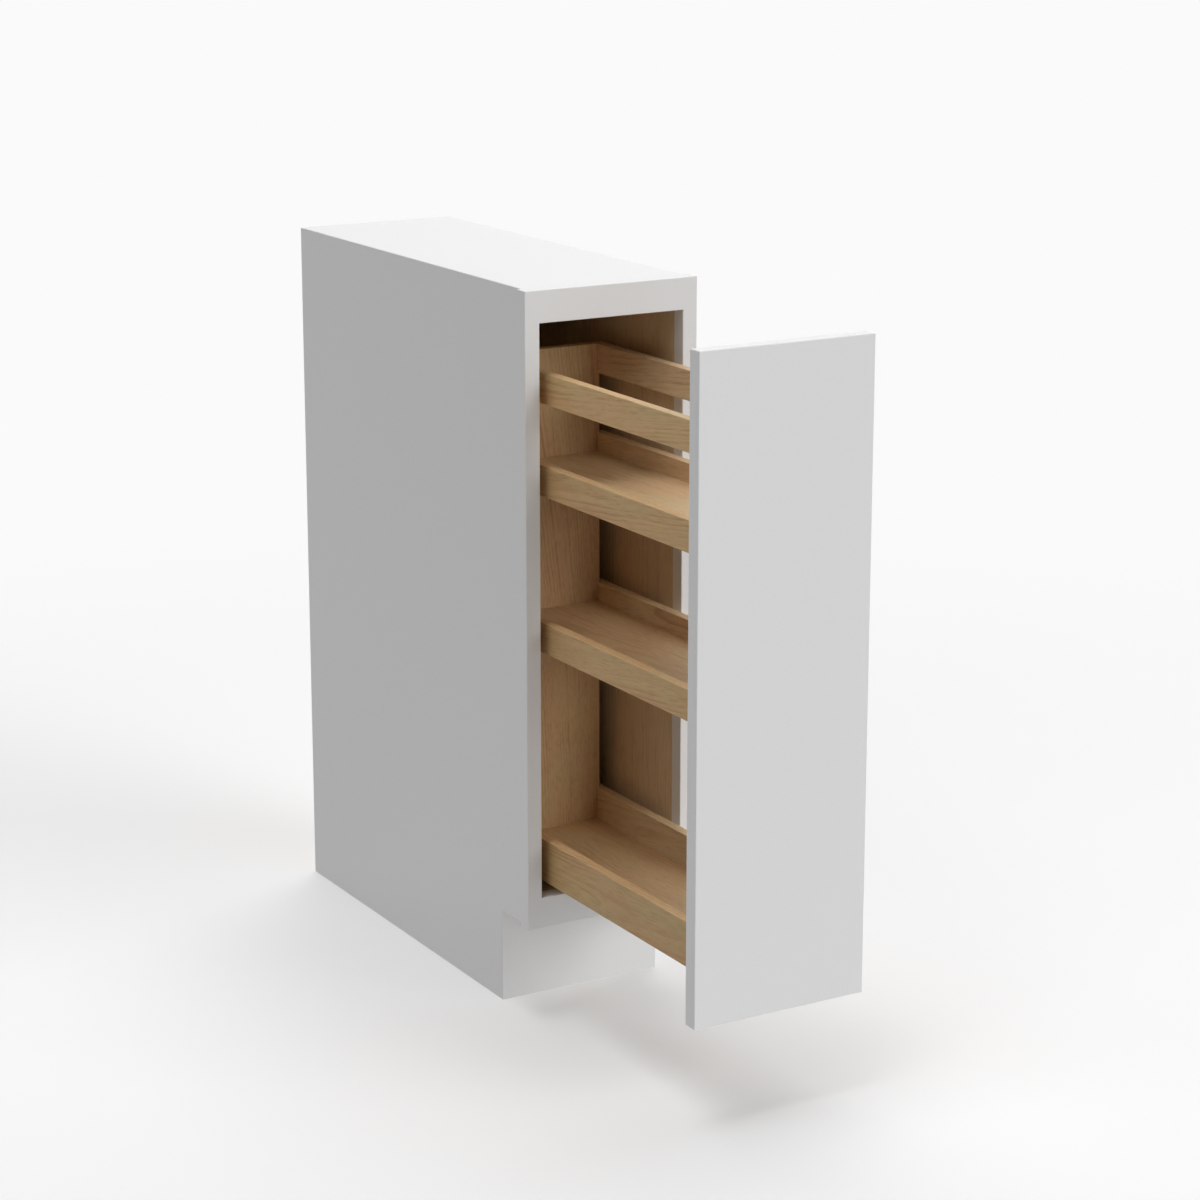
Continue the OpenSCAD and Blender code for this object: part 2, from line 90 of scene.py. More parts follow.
# Windows of those patterns that their effect runs through, from none to full
TONE_WINDOW = (0.4, 0.6)
PATCH_WINDOW = (0.36, 0.62)
STREAK_WINDOW = (0.32, 0.68)
FIBRE_WINDOW = (0.45, 0.72)
YEAR_WINDOW = (0.3, 0.72)
# The same for the specks of the lacquer, for any other pattern, and for the sum of two
SPECK_WINDOW = (0.4, 0.7)
USUAL_WINDOW = (0.3, 0.7)
PAIR_WINDOW = (0.7, 1.3)
# Width of a fibre as a share of its length
FIBRE_SLIMNESS = 0.07
# Growth rings, counted from the heart: how fast and by how many rings their widths change, and how fast
# their darkness changes
RING_WIDTH_PACE = 0.24
RING_WIDTH_CHANGE = 3.2
RING_DARKNESS_PACE = 0.37
# Shares of a ring at which its late wood starts and is darkest
LATE_START, LATE_PEAK = 0.35, 0.92
# Darkness of the faintest and the darkest ring, and what the faintest patch leaves of it
FAINT_RING, DARK_RING = 0.15, 0.9
FAINT_PATCH = 0.12
# Most of the early wood's colour in a streak, and of the late wood's tint in a fibre
STREAK_SHARE = 0.85
FIBRE_SHARE = 0.5
# How much smoother and rougher than its setting the wood is beside and on a fibre
WOOD_SMOOTHER, WOOD_ROUGHER = 0.06, 0.08
# Depth of the wood's open grain in metres
GRAIN_DEPTH = 0.00006

# Wood of each board: the axis that the grain runs along, the way from the board's middle to the trunk's
# heart in metres, the trunk's lean in degrees, and how the board differs from the plain veneer; for the
# side panels, the rack's end boards and the shelves that is partly painted light and shade, which makes
# each board paler, lighter or darker for how much light falls on it
SIDE_PANEL = {"along": "Z", "lean": (1.2, 2.0), "figure": 0.8, "paleness": 0.55, "painted_light": 1.03}
RACK_END = {"along": "Z", "lean": (8.0, 0.5), "figure": 0.95, "paleness": 0.1, "painted_light": 0.94}
SHELF = {"along": "Y", "lean": (1.5, 0.8), "figure": 0.6, "paleness": 0.2, "painted_light": 1.06}
DOWEL = {"along": "X", "heart": (0, 0.02, 0.03)}
BOARD_WOOD = {
    "left_side_panel": {**SIDE_PANEL, "heart": (-0.05135, -0.1, -0.13815)},
    "right_side_panel": {**SIDE_PANEL, "heart": (0.05135, -0.1, -0.13815)},
    "top_panel": {"along": "Y", "heart": (0.02, 0, 0.04), "paleness": 0.5},
    "cabinet_floor": {"along": "Y", "heart": (0.03, 0, -0.05), "paleness": 0.5},
    "back_panel": {"along": "Z", "heart": (0.02, 0.06, 0), "paleness": 0.5},
    "upper_hanging_rail": {"along": "X", "heart": (0, 0.05, 0.01), "paleness": 0.5},
    "lower_hanging_rail": {"along": "X", "heart": (0, 0.06, -0.02), "paleness": 0.5},
    "toe_kick_blocks": {"along": "Z", "heart": (0.05, 0.03, 0), "paleness": 0.5},
    "toe_kick_board": {"along": "X", "heart": (0, 0.05, 0)},
    "rack_front_board": {**RACK_END, "heart": (0.01, -0.05, 0)},
    "rack_back_board": {**RACK_END, "heart": (-0.05, 0.03, 0)},
    "tray_board": {**SHELF, "heart": (0.03, 0, -0.05)},
    "lower_shelf": {**SHELF, "heart": (-0.02, 0, -0.06)},
    "upper_shelf": {**SHELF, "heart": (0.01, 0, 0.055)},
    "frame_dowels": DOWEL,
    "rail_dowels": DOWEL,
    "shelf_dowels": DOWEL,
}
# Rows of the rack's rails from the tray up: the way from the right-hand rail's middle to the heart, the
# lean, and the painted light of the row's left rail, right rail and top edges: painted shade darkens the
# rows towards the bottom, and painted light lightens the right-hand rails, whose inner faces lie in shade,
# and the top edges, which catch the light from above
RAIL_ROWS = {
    "tray": {"heart": (0.03, 0, 0.012), "lean": (5.5, -1.4), "left": 0.87, "right": 1.05, "edge": 1.2},
    "lower": {"heart": (0.038, 0.11, 0.012), "lean": (6.3, -0.5), "left": 0.93, "right": 1.25, "edge": 1.2},
    "upper": {"heart": (0.046, 0.22, 0.012), "lean": (7.1, 0.4), "left": 0.98, "right": 1.15, "edge": 1.15},
    "guard": {"heart": (0.054, 0.33, 0.012), "lean": (7.9, 1.3), "left": 1.05, "right": 1.15, "edge": 1.05},
}
# Share of pale wood in each hand's rails and in their top edges, painted light that lightens the
# right-hand rails' shaded inner faces and the top edges
RAIL_PAINTED_PALENESS = {"left": 0.0, "right": 0.4}
RAIL_PAINTED_TOP_PALENESS = {"left": 0.1, "right": 0.34}
# Warmth of the rails' faces, which are a little more olive than the other boards
RAIL_WARMTH = -0.03


def display_colour(red, green, blue):
    """Scene-linear colour of an 8-bit display colour."""
    def linear(level):
        share = level / 255
        return share / 12.92 if share <= 0.04045 else ((share + 0.055) / 1.055) ** 2.4

    return tuple(linear(level) for level in (red, green, blue))


def colour_property(name, description, colour):
    """Colour that a user may change."""
    return FloatVectorProperty(
        name=name, description=description, default=display_colour(*colour),
        min=0, max=1, size=3, subtype="COLOR")


def length_property(name, description, default, smallest, largest):
    """Length in metres that a user may change."""
    return FloatProperty(
        name=name, description=description, default=default, min=smallest, max=largest,
        precision=4, subtype="DISTANCE", unit="LENGTH")


def level_property(name, description, default, smallest=0.0, largest=1.0):
    """Share or level that a user may change."""
    return FloatProperty(
        name=name, description=description, default=default, min=smallest, max=largest, subtype="FACTOR")


class EdgeSettings(PropertyGroup):
    """How the edges of the boards are eased."""
    painted: length_property(
        "Painted edge", "Radius of the eased edges of painted boards", 0.0011, 0.0002, 0.003)
    wooden: length_property(
        "Wooden edge", "Radius of the eased edges of clear-finished boards", 0.0009, 0.0002, 0.003)
    joint: length_property(
        "Joint edge", "Radius of the fine edge where two boards meet", 0.0004, 0.0001, 0.001)
    segments: IntProperty(
        name="Segments", description="Flat faces across an eased edge", default=3, min=1, max=6)


class LacquerSettings(PropertyGroup):
    """White satin lacquer of the outside."""
    colour: colour_property("White", "Colour of the lacquer", (225, 225, 225))
    shade: colour_property("Shade", "Colour of its barely darker specks", (223, 223, 223))
    roughness: level_property("Roughness", "Roughness of the satin lacquer", 0.5, 0.1)
    gloss: level_property("Gloss", "Strength of the satin lacquer's reflection", 0.35)
    peel_size: length_property("Peel size", "Width of one wave of the sprayed surface", 0.0035, 0.001, 0.02)
    peel_height: length_property(
        "Peel height", "Height of one wave of the sprayed surface", 0.00002, 0.0, 0.0005)


class WoodSettings(PropertyGroup):
    """Light veneer with a clear matt finish."""
    early: colour_property("Early wood", "Colour of the wide light part of a growth ring", (201, 166, 118))
    late: colour_property("Late wood", "Tint of the narrow dark part of a growth ring", (214, 203, 188))
    rosy: colour_property("Rosy patches", "Colour of the warm patches", (198, 157, 113))
    olive: colour_property("Olive patches", "Colour of the cool patches", (193, 165, 118))
    pale: colour_property("Pale wood", "Paler colour that is mixed into some boards", (228, 212, 186))
    ring_width: length_property("Ring width", "Width of one growth ring", 0.0042, 0.001, 0.02)
    drift: length_property("Drift", "Distance by which the rings wander", 0.016, 0.0, 0.05)
    waver: length_property("Waver", "Height of the small waves in the rings", 0.004, 0.0, 0.02)
    fibre_width: length_property("Fibre width", "Width of one fibre streak", 0.0016, 0.0005, 0.01)
    roughness: level_property("Roughness", "Roughness of the matt finish", 0.55, 0.1)
    gloss: level_property("Gloss", "Strength of the matt finish's reflection", 0.3)


class HardwareSettings(PropertyGroup):
    """Metal and rubber of the hidden hardware."""
    zinc: colour_property("Zinc", "Colour of the zinc plated runners and screws", (196, 200, 206))
    sheet: colour_property("Cage sheet", "Colour of the plain sheet of the ball cages", (166, 170, 176))
    balls: colour_property("Ball steel", "Colour of the polished balls", (214, 215, 218))
    rubber: colour_property("Bumper", "Colour of the soft clear bumpers", (221, 224, 224))


class StageSettings(PropertyGroup):
    """Floor, lamps and camera."""
    floor: colour_property("Floor", "Colour of the floor", (247, 247, 247))
    backdrop: colour_property("Backdrop", "Colour of the backdrop", (250, 250, 250))
    veil: level_property("Veil", "Share of the backdrop's white in the floor", 0.19)
    lamps: level_property("Lamps", "Level of all the lamps", 1.0, largest=4)
    bounce: level_property("Bounce", "Level of the light that the floor sends up", 0.65, largest=2)
    fade_start: length_property(
        "Fade start", "Distance at which the floor starts to fade to the backdrop", 1.4, 0.1, 10)
    fade_end: length_property(
        "Fade end", "Distance at which the floor has faded to the backdrop", 2.6, 0.2, 20)
    lens: FloatProperty(
        name="Lens", description="Focal length of the camera in millimetres",
        default=92.63, min=10, max=300)
    shift: FloatProperty(
        name="Shift", description="Vertical shift of the camera's frame",
        default=-0.05, min=-0.2, max=0.2)


class CabinetSettings(PropertyGroup):
    """All sizes and colours of the cabinet's finish."""
    edges: PointerProperty(type=EdgeSettings)
    lacquer: PointerProperty(type=LacquerSettings)
    wood: PointerProperty(type=WoodSettings)
    hardware: PointerProperty(type=HardwareSettings)
    stage: PointerProperty(type=StageSettings)


def settings():
    """The sizes and colours that a user may change."""
    return bpy.context.scene.cabinet


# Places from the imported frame

def low_of(node):
    """Lowest corner of a node's box."""
    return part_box(node)[0]


def high_of(node):
    """Highest corner of a node's box."""
    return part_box(node)[1]


def middle_of(node):
    """Middle of a node's box."""
    low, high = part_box(node)
    return (low + high) / 2


def body_of(node):
    """Name of the body that a node belongs to."""
    bodies = frame["record"]["behaviour"]["bodies"]
    return next(body for body, nodes in bodies.items() if node in nodes)


# Modelling helpers

def deselect_all():
    """Leaves edit mode and deselects every object."""
    if bpy.context.mode != "OBJECT":
        bpy.ops.object.mode_set(mode="OBJECT")
    bpy.ops.object.select_all(action="DESELECT")


def make_active(piece):
    """Selects one object alone."""
    deselect_all()
    piece.select_set(True)
    bpy.context.view_layer.objects.active = piece


def edit_all(piece):
    """Opens a piece in edit mode with all of it selected."""
    make_active(piece)
    bpy.ops.object.mode_set(mode="EDIT")
    bpy.ops.mesh.select_all(action="SELECT")


def place_in_mesh():
    """Moves the active object's place, turn and scale into its mesh."""
    bpy.ops.object.transform_apply(location=True, rotation=True, scale=True)
    return bpy.context.active_object


def add_block(name, low, high):
    """Adds a block between two corners."""
    deselect_all()
    bpy.ops.mesh.primitive_cube_add(size=1, location=(low + high) / 2, scale=high - low)
    piece = place_in_mesh()
    piece.name = name
    return piece


def copy_of(piece, name, shift=(0, 0, 0), is_mirrored=False):
    """Copies a piece with a mesh of its own, moved, and mirrored to the other side where asked."""
    make_active(piece)
    bpy.ops.object.duplicate()
    copied = bpy.context.active_object
    copied.name = name
    copied.location = shift
    copied.scale.x = -1 if is_mirrored else 1
    place_in_mesh()
    if is_mirrored:
        edit_all(copied)
        bpy.ops.mesh.normals_make_consistent(inside=False)
        bpy.ops.object.mode_set(mode="OBJECT")
    return copied


def discard(piece):
    """Removes a piece that was only a pattern or a cutter."""
    bpy.data.meshes.remove(piece.data)


def apply_modifier(piece, kind, **values):
    """Adds a modifier and applies it at once."""
    make_active(piece)
    modifier = piece.modifiers.new(kind.title(), kind)
    for key, value in values.items():
        setattr(modifier, key, value)
    bpy.ops.object.modifier_apply(modifier=modifier.name)


def subtract(piece, cutter):
    """Cuts one object's shape out of a piece and removes the cutter."""
    apply_modifier(piece, "BOOLEAN", operation="DIFFERENCE", solver="EXACT", object=cutter)
    discard(cutter)
    edit_all(piece)
    bpy.ops.mesh.dissolve_limited(angle_limit=FLAT)
    bpy.ops.object.mode_set(mode="OBJECT")


def cut_box(piece, low, high):
    """Cuts the space between two corners out of a piece."""
    subtract(piece, add_block("cutter", low, high))


def mesh_box(piece):
    """Lowest and highest corner of a piece's own mesh."""
    points = [vertex.co for vertex in piece.data.vertices]
    return (Vector(min(point[axis] for point in points) for axis in range(3)),
            Vector(max(point[axis] for point in points) for axis in range(3)))


def house(piece, node):
    """Cuts a neighbouring node's space out of a board, open where the two end flush."""
    low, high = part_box(node)
    own_low, own_high = mesh_box(piece)
    for axis in range(3):
        if low[axis] < own_low[axis] + FLUSH:
            low[axis] = own_low[axis] - PAST
        if high[axis] > own_high[axis] - FLUSH:
            high[axis] = own_high[axis] + PAST
    cut_box(piece, low, high)


def drill(piece, x, z, y_start, y_end, radius_start, radius_end):
    """Drills a round or tapered hole along Y."""
    deselect_all()
    bpy.ops.mesh.primitive_cone_add(
        vertices=HOLE_SIDES, radius1=radius_end, radius2=radius_start, depth=y_end - y_start,
        location=(x, (y_start + y_end) / 2, z), rotation=(math.radians(90), 0, 0))
    subtract(piece, place_in_mesh())


def ease(piece, radius, is_joint=None):
    """Rounds the outer edges of a board over, apart from those that is_joint names by their middle."""
    make_active(piece)
    bpy.ops.object.mode_set(mode="EDIT")
    bpy.ops.mesh.select_mode(type="EDGE")
    bpy.ops.mesh.select_all(action="DESELECT")
    mesh = bmesh.from_edit_mesh(piece.data)
    for edge in mesh.edges:
        middle = (edge.verts[0].co + edge.verts[1].co) / 2
        is_outer = edge.is_convex and edge.calc_face_angle(0) > SHARP
        if is_outer and not (is_joint and is_joint(middle)):
            edge.select_set(True)
    bmesh.update_edit_mesh(piece.data)
    bpy.ops.mesh.bevel(offset=radius, segments=settings().edges.segments, profile=0.5, affect="EDGES")
    bpy.ops.object.mode_set(mode="OBJECT")


def round_corner(piece, corner, end, radius):
    """Rounds the stretch of an upright corner beside the opening that runs from one point to another."""
    inward = Vector((math.copysign(radius, corner.x), radius, 0))
    reach = Vector((-math.copysign(PAST, corner.x), -PAST, 0))
    ends = (corner + reach, end + inward)
    cutter = add_block("corner_cutter", Vector(map(min, *ends)), Vector(map(max, *ends)))
    deselect_all()
    bpy.ops.mesh.primitive_cylinder_add(
        vertices=CUTTER_SIDES * settings().edges.segments, radius=radius,
        depth=(end - corner).length + 2 * PAST, location=(corner + end) / 2 + inward)
    subtract(cutter, place_in_mesh())
    subtract(piece, cutter)


def paint_faces(piece, material, is_covered):
    """Gives the faces that is_covered names, by their normal, another material."""
    piece.data.materials.append(material)
    index = len(piece.data.materials) - 1
    for face in piece.data.polygons:
        if is_covered(face.normal):
            face.material_index = index


def finish_piece(piece, node):
    """Shades a piece, and puts it on its node's body in the node's place."""
    make_active(piece)
    bpy.ops.object.shade_smooth_by_angle(angle=SHARP)
    apply_modifier(piece, "WEIGHTED_NORMAL", keep_sharp=True, weight=100)
    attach(piece, body_of(node))
    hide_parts(node)


def dress(node, material):
    """Gives a CAD node another material."""
    piece = frame["nodes"][node]
    if not piece.material_slots:
        piece.data.materials.append(material)
    for material_slot in piece.material_slots:
        material_slot.material = material


# Material helpers

def new_material(name):
    """New material with its node tree and its shader."""
    material = bpy.data.materials.new(name)
    material.use_nodes = True
    tree = material.node_tree
    return material, tree, tree.nodes["Principled BSDF"]


def add_node(tree, kind, inputs=None, **values):
    """Adds a shader node. Inputs are values, or sockets to link from."""
    node = tree.nodes.new(kind)
    for key, value in values.items():
        setattr(node, key, value)
    for key, value in (inputs or {}).items():
        if isinstance(value, bpy.types.NodeSocket):
            tree.links.new(value, node.inputs[key])
        else:
            node.inputs[key].default_value = value
    return node


def link(tree, socket, node, name):
    """Links a socket to a node's input of that name."""
    tree.links.new(socket, node.inputs[name])


def object_place(tree):
    """Place on the object, in metres."""
    return add_node(tree, "ShaderNodeTexCoord").outputs["Object"]


def math_node(tree, operation, first, second=0.0):
    """Calculates with two numbers."""
    return add_node(tree, "ShaderNodeMath", {0: first, 1: second}, operation=operation).outputs[0]


def vector_node(tree, operation, first, second):
    """Calculates with two vectors."""
    return add_node(tree, "ShaderNodeVectorMath", {0: first, 1: second}, operation=operation).outputs[0]


def length_of(tree, vector):
    """Length of a vector."""
    return add_node(tree, "ShaderNodeVectorMath", {0: vector}, operation="LENGTH").outputs["Value"]


def stretched(tree, vector, scale):
    """Vector multiplied along each axis."""
    return vector_node(tree, "MULTIPLY", vector, scale)


def noise_node(tree, place, scale, detail=2.0, roughness=0.5):
    """Cloudy pattern over a place."""
    return add_node(tree, "ShaderNodeTexNoise",
                    {"Vector": place, "Scale": scale, "Detail": detail, "Roughness": roughness})


def noise(tree, place, scale, detail=2.0, roughness=0.5):
    """Cloudy pattern over a place, from 0 to 1."""
    return noise_node(tree, place, scale, detail, roughness).outputs[0]


def noise_over(tree, number, scale, detail):
    """Cloudy pattern over a number, from 0 to 1."""
    return add_node(tree, "ShaderNodeTexNoise", {"W": number, "Scale": scale, "Detail": detail},
                    noise_dimensions="1D").outputs[0]


def remap(tree, value, window, low=0.0, high=1.0):
    """Maps the window of a value smoothly to the range from low to high."""
    start, end = window
    return add_node(tree, "ShaderNodeMapRange",
                    {"Value": value, "From Min": start, "From Max": end, "To Min": low, "To Max": high},
                    interpolation_type="SMOOTHSTEP").outputs[0]


def mix_colours(tree, factor, first, second, blend="MIX"):
    """Mixes two colours, each a socket or three numbers."""
    def whole(colour):
        return colour if isinstance(colour, bpy.types.NodeSocket) else (*colour, 1)

    return add_node(tree, "ShaderNodeMix", {0: factor, MIX_A: whole(first), MIX_B: whole(second)},
                    data_type="RGBA", blend_type=blend).outputs[MIX_RESULT]


def bump(tree, shader, height, distance):
    """Raises the surface by a height from 0 to 1 times a distance."""
    made = add_node(tree, "ShaderNodeBump", {"Height": height, "Distance": distance, "Strength": 1.0})
    link(tree, made.outputs[0], shader, "Normal")


def shaded(colour, share):
    """Colour with its light multiplied by a share."""
    return tuple(level * share for level in colour)


# Materials

def white_lacquer():
    """White satin lacquer with a faint sprayed surface and barely darker specks."""
    found = bpy.data.materials.get("white_lacquer_satin")
    if found:
        return found
    look = settings().lacquer
    specks_in_metre = 420
    roughness_change = 0.03
    material, tree, shader = new_material("white_lacquer_satin")
    place = object_place(tree)
    peel = noise(tree, place, 1 / look.peel_size)
    specks = noise(tree, place, specks_in_metre, detail=3, roughness=0.6)
    colour = mix_colours(tree, remap(tree, specks, SPECK_WINDOW), look.colour, look.shade)
    link(tree, colour, shader, "Base Color")
    rough = remap(tree, math_node(tree, "ADD", peel, specks), PAIR_WINDOW,
                  look.roughness - roughness_change, look.roughness + roughness_change)
    link(tree, rough, shader, "Roughness")
    shader.inputs["Specular IOR Level"].default_value = look.gloss
    bump(tree, shader, peel, look.peel_height)
    return material


def trunk_place(tree, along, heart, lean):
    """Place in the trunk that a board is cut from, whose Z axis runs through the heart."""
    leaning = Euler([math.radians(angle) for angle in lean] + [0]).to_matrix()
    turn = leaning @ GRAIN_TURNS[along].to_matrix()
    return add_node(tree, "ShaderNodeMapping", {
        "Vector": object_place(tree), "Rotation": turn.to_euler(),
        "Location": -(turn @ Vector(heart))}).outputs[0]


def wandering(tree, trunk):
    """Place in the trunk, pushed about by wide drifts and small waves."""
    look = settings().wood
    place = trunk
    for pace, reach in ((DRIFT_PACE, look.drift), (WAVER_PACE, look.waver)):
        push = noise_node(tree, stretched(tree, trunk, pace), 1).outputs["Color"]
        centred = vector_node(tree, "SUBTRACT", push, (0.5, 0.5, 0.5))
        place = vector_node(tree, "ADD", stretched(tree, centred, (reach, reach, 0)), place)
    return place


def growth_rings(tree, place, figure):
    """Late wood of the growth rings from 0 to 1, and how much it darkens the wood."""
    look = settings().wood
    across = stretched(tree, place, (1, 1, 0))
    even = math_node(tree, "MULTIPLY", length_of(tree, across), 1 / look.ring_width)
    change = noise_over(tree, even, RING_WIDTH_PACE, 1.0)
    ring = math_node(tree, "ADD", even, math_node(tree, "MULTIPLY", change, RING_WIDTH_CHANGE))
    share = math_node(tree, "FRACT", ring)
    late = math_node(tree, "MULTIPLY", remap(tree, share, (LATE_START, LATE_PEAK)),
                     remap(tree, share, (1.0, LATE_PEAK)))
    patches = noise(tree, stretched(tree, place, PATCH_PACE), 1)
    patched = math_node(tree, "MULTIPLY", late, remap(tree, patches, PATCH_WINDOW, FAINT_PATCH, 1.0))
    years = noise_over(tree, ring, RING_DARKNESS_PACE, 2.0)
    darkness = remap(tree, years, YEAR_WINDOW, FAINT_RING * figure, DARK_RING * figure)
    return late, math_node(tree, "MULTIPLY", patched, darkness)


def natural_wood(name, along, heart, lean=(2.0, 1.0), figure=1.0, paleness=0.0, warmth=0.05, painted_light=1.0):
    """Light veneer of a trunk that runs along an axis past the point heart and leans by some degrees.

    Figure is the strength of the growth rings, paleness the share of the paler colour, and warmth
    shifts the patches from olive to rosy. Painted light makes this board's colour lighter or darker, as
    painted light and shade for how much light falls on it.
    """
    look = settings().wood
    # Painted light and shade: the board's colours are made lighter or darker for the light that falls on it
    early, rosy, olive = (shaded(colour, painted_light) for colour in (look.early, look.rosy, look.olive))
    material, tree, shader = new_material(name)
    trunk = trunk_place(tree, along, heart, lean)
    place = wandering(tree, trunk)
    late, ring_depth = growth_rings(tree, place, figure)
    along_fibre = stretched(tree, place, (1, 1, FIBRE_SLIMNESS))
    fibre = noise(tree, along_fibre, 1 / look.fibre_width, detail=4, roughness=0.65)
    streak = noise(tree, stretched(tree, place, STREAK_PACE), 1, detail=3)
    tone = noise(tree, stretched(tree, trunk, TONE_PACE), 1)

    tone_window = [limit - warmth for limit in TONE_WINDOW]
    ground = mix_colours(tree, remap(tree, tone, tone_window), olive, rosy)
    ground = mix_colours(tree, remap(tree, streak, STREAK_WINDOW, 0.0, STREAK_SHARE), ground, early)
    if paleness:
        ground = mix_colours(tree, paleness, ground, look.pale)
    ringed = mix_colours(tree, ring_depth, ground, look.late, "MULTIPLY")
    fibre_depth = remap(tree, fibre, FIBRE_WINDOW, 0.0, FIBRE_SHARE)
    link(tree, mix_colours(tree, fibre_depth, ringed, look.late, "MULTIPLY"), shader, "Base Color")
    rough = remap(tree, fibre, USUAL_WINDOW,
                  look.roughness - WOOD_SMOOTHER, look.roughness + WOOD_ROUGHER)
    link(tree, rough, shader, "Roughness")
    shader.inputs["Specular IOR Level"].default_value = look.gloss
    bump(tree, shader, math_node(tree, "SUBTRACT", late, fibre), GRAIN_DEPTH)
    return material


def veneer(node):
    """Veneer of one board, as BOARD_WOOD gives it."""
    wood = dict(BOARD_WOOD[node])
    heart = middle_of(node) + Vector(wood.pop("heart"))
    return natural_wood(f"{node}_veneer", heart=heart, **wood)


def drawn_steel(name, colour, roughness, along, scratch=0.05):
    """Plated or plain steel with fine drawing lines along an axis and a cloudy bloom."""
    line_pace, cross_pace, line_depth = 40, 900, 0.00002
    bloom_pace, bloom_share, bloom_shade, bloom_roughness = 45, 0.8, 0.82, 0.12
    drawn = [line_pace if axis == along else cross_pace for axis in "XYZ"]
    material, tree, shader = new_material(name)
    place = object_place(tree)
    lines = noise(tree, stretched(tree, place, drawn), 1, detail=3)
    bloom = noise(tree, place, bloom_pace, detail=3)
    clouds = remap(tree, bloom, USUAL_WINDOW, 0.0, bloom_share)
    link(tree, mix_colours(tree, clouds, colour, shaded(colour, bloom_shade)), shader, "Base Color")
    rough = remap(tree, math_node(tree, "ADD", lines, bloom), PAIR_WINDOW,
                  roughness - scratch, roughness + bloom_roughness)
    link(tree, rough, shader, "Roughness")
    shader.inputs["Metallic"].default_value = 1.0
    bump(tree, shader, lines, line_depth)
    return material


def plated_steel(along):
    """Zinc plated steel drawn along an axis."""
    return drawn_steel(f"zinc_plated_{along.lower()}", settings().hardware.zinc, 0.3, along)


def bumper_rubber():
    """Soft clear bumper with a dusty skin."""
    grains_in_metre = 1400
    grain_depth, grain_shade = 0.00002, 0.9
    smoothest, roughest = 0.3, 0.48
    light_reach = 0.002
    look = settings().hardware
    material, tree, shader = new_material("bumper_soft_clear")
    grain = noise(tree, object_place(tree), grains_in_metre)
    dusty = shaded(look.rubber, grain_shade)
    link(tree, mix_colours(tree, grain, look.rubber, dusty), shader, "Base Color")
    link(tree, remap(tree, grain, USUAL_WINDOW, smoothest, roughest), shader, "Roughness")
    shader.inputs["Subsurface Weight"].default_value = 0.4
    shader.inputs["Subsurface Radius"].default_value = (light_reach, light_reach, light_reach)
    bump(tree, shader, grain, grain_depth)
    return material


class CABINET_OT_side_panels(Operator):
    """Builds the two side panels with their toe notches and housings, white outside and wood inside"""
    bl_idname = "cabinet.side_panels"
    bl_label = "Side panels"
    bl_options = {"REGISTER", "UNDO"}

    def execute(self, context):
        pattern = self.model_right_panel(context.scene.cabinet.edges.painted)
        for hand, side in HANDS.items():
            node = f"{hand}_side_panel"
            panel = copy_of(pattern, f"{node}_finished", is_mirrored=side < 0)
            panel.data.materials.append(white_lacquer())
            paint_faces(panel, veneer(node), lambda normal: normal.x * side < -FACING)
            finish_piece(panel, node)
        discard(pattern)
        return {"FINISHED"}

    def model_right_panel(self, radius):
        """The right-hand panel, of which the left-hand one is the mirror."""
        low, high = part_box("right_side_panel")
        frame_back = high_of("right_stile").y
        toe_front = low_of("toe_kick_board").y
        toe_top = low_of("right_stile").z
        panel = add_block("side_panel_pattern", low, high)
        cut_box(panel, low - Vector((PAST, PAST, PAST)), Vector((high.x + PAST, toe_front, toe_top)))

        def is_joint(middle):
            """Every edge but those of the outer face behind the frame and the top one at the back."""
            on_outer = middle.x > high.x - FLUSH and middle.y > frame_back + FLUSH
            on_back_top = middle.y > high.y - FLUSH and middle.z > high.z - FLUSH
            return not (on_outer or on_back_top)

        ease(panel, radius, is_joint)
        for neighbour in ("cabinet_floor", "top_panel", "back_panel"):
            house(panel, neighbour)
        return panel


class CABINET_OT_top_panel(Operator):
    """Builds the top panel, white above and wood below"""
    bl_idname = "cabinet.top_panel"
    bl_label = "Top panel"
    bl_options = {"REGISTER", "UNDO"}

    def execute(self, context):
        low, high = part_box("top_panel")
        panel = add_block("top_panel_finished", low, high)
        ease(panel, context.scene.cabinet.edges.painted,
             lambda middle: not (middle.y > high.y - FLUSH and middle.z > high.z - FLUSH))
        panel.data.materials.append(white_lacquer())
        paint_faces(panel, veneer("top_panel"), lambda normal: normal.z < -FACING)
        finish_piece(panel, "top_panel")
        return {"FINISHED"}


class CABINET_OT_floor_and_back(Operator):
    """Finishes the cabinet floor, the back panel, the hanging rails and the glue blocks in natural wood"""
    bl_idname = "cabinet.floor_and_back"
    bl_label = "Floor, back and hanging rails"
    bl_options = {"REGISTER", "UNDO"}

    def execute(self, context):
        for node in ("cabinet_floor", "back_panel", "upper_hanging_rail", "lower_hanging_rail",
                     "toe_kick_blocks"):
            dress(node, veneer(node))
        return {"FINISHED"}


class CABINET_OT_toe_kick(Operator):
    """Builds the toe kick board, white in front and wood behind"""
    bl_idname = "cabinet.toe_kick"
    bl_label = "Toe kick board"
    bl_options = {"REGISTER", "UNDO"}

    def execute(self, context):
        low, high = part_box("toe_kick_board")
        board = add_block("toe_kick_board_finished", low, high)
        ease(board, context.scene.cabinet.edges.joint, lambda middle: middle.z > low.z + FLUSH)
        board.data.materials.append(white_lacquer())
        paint_faces(board, veneer("toe_kick_board"), lambda normal: normal.y > FACING)
        finish_piece(board, "toe_kick_board")
        return {"FINISHED"}


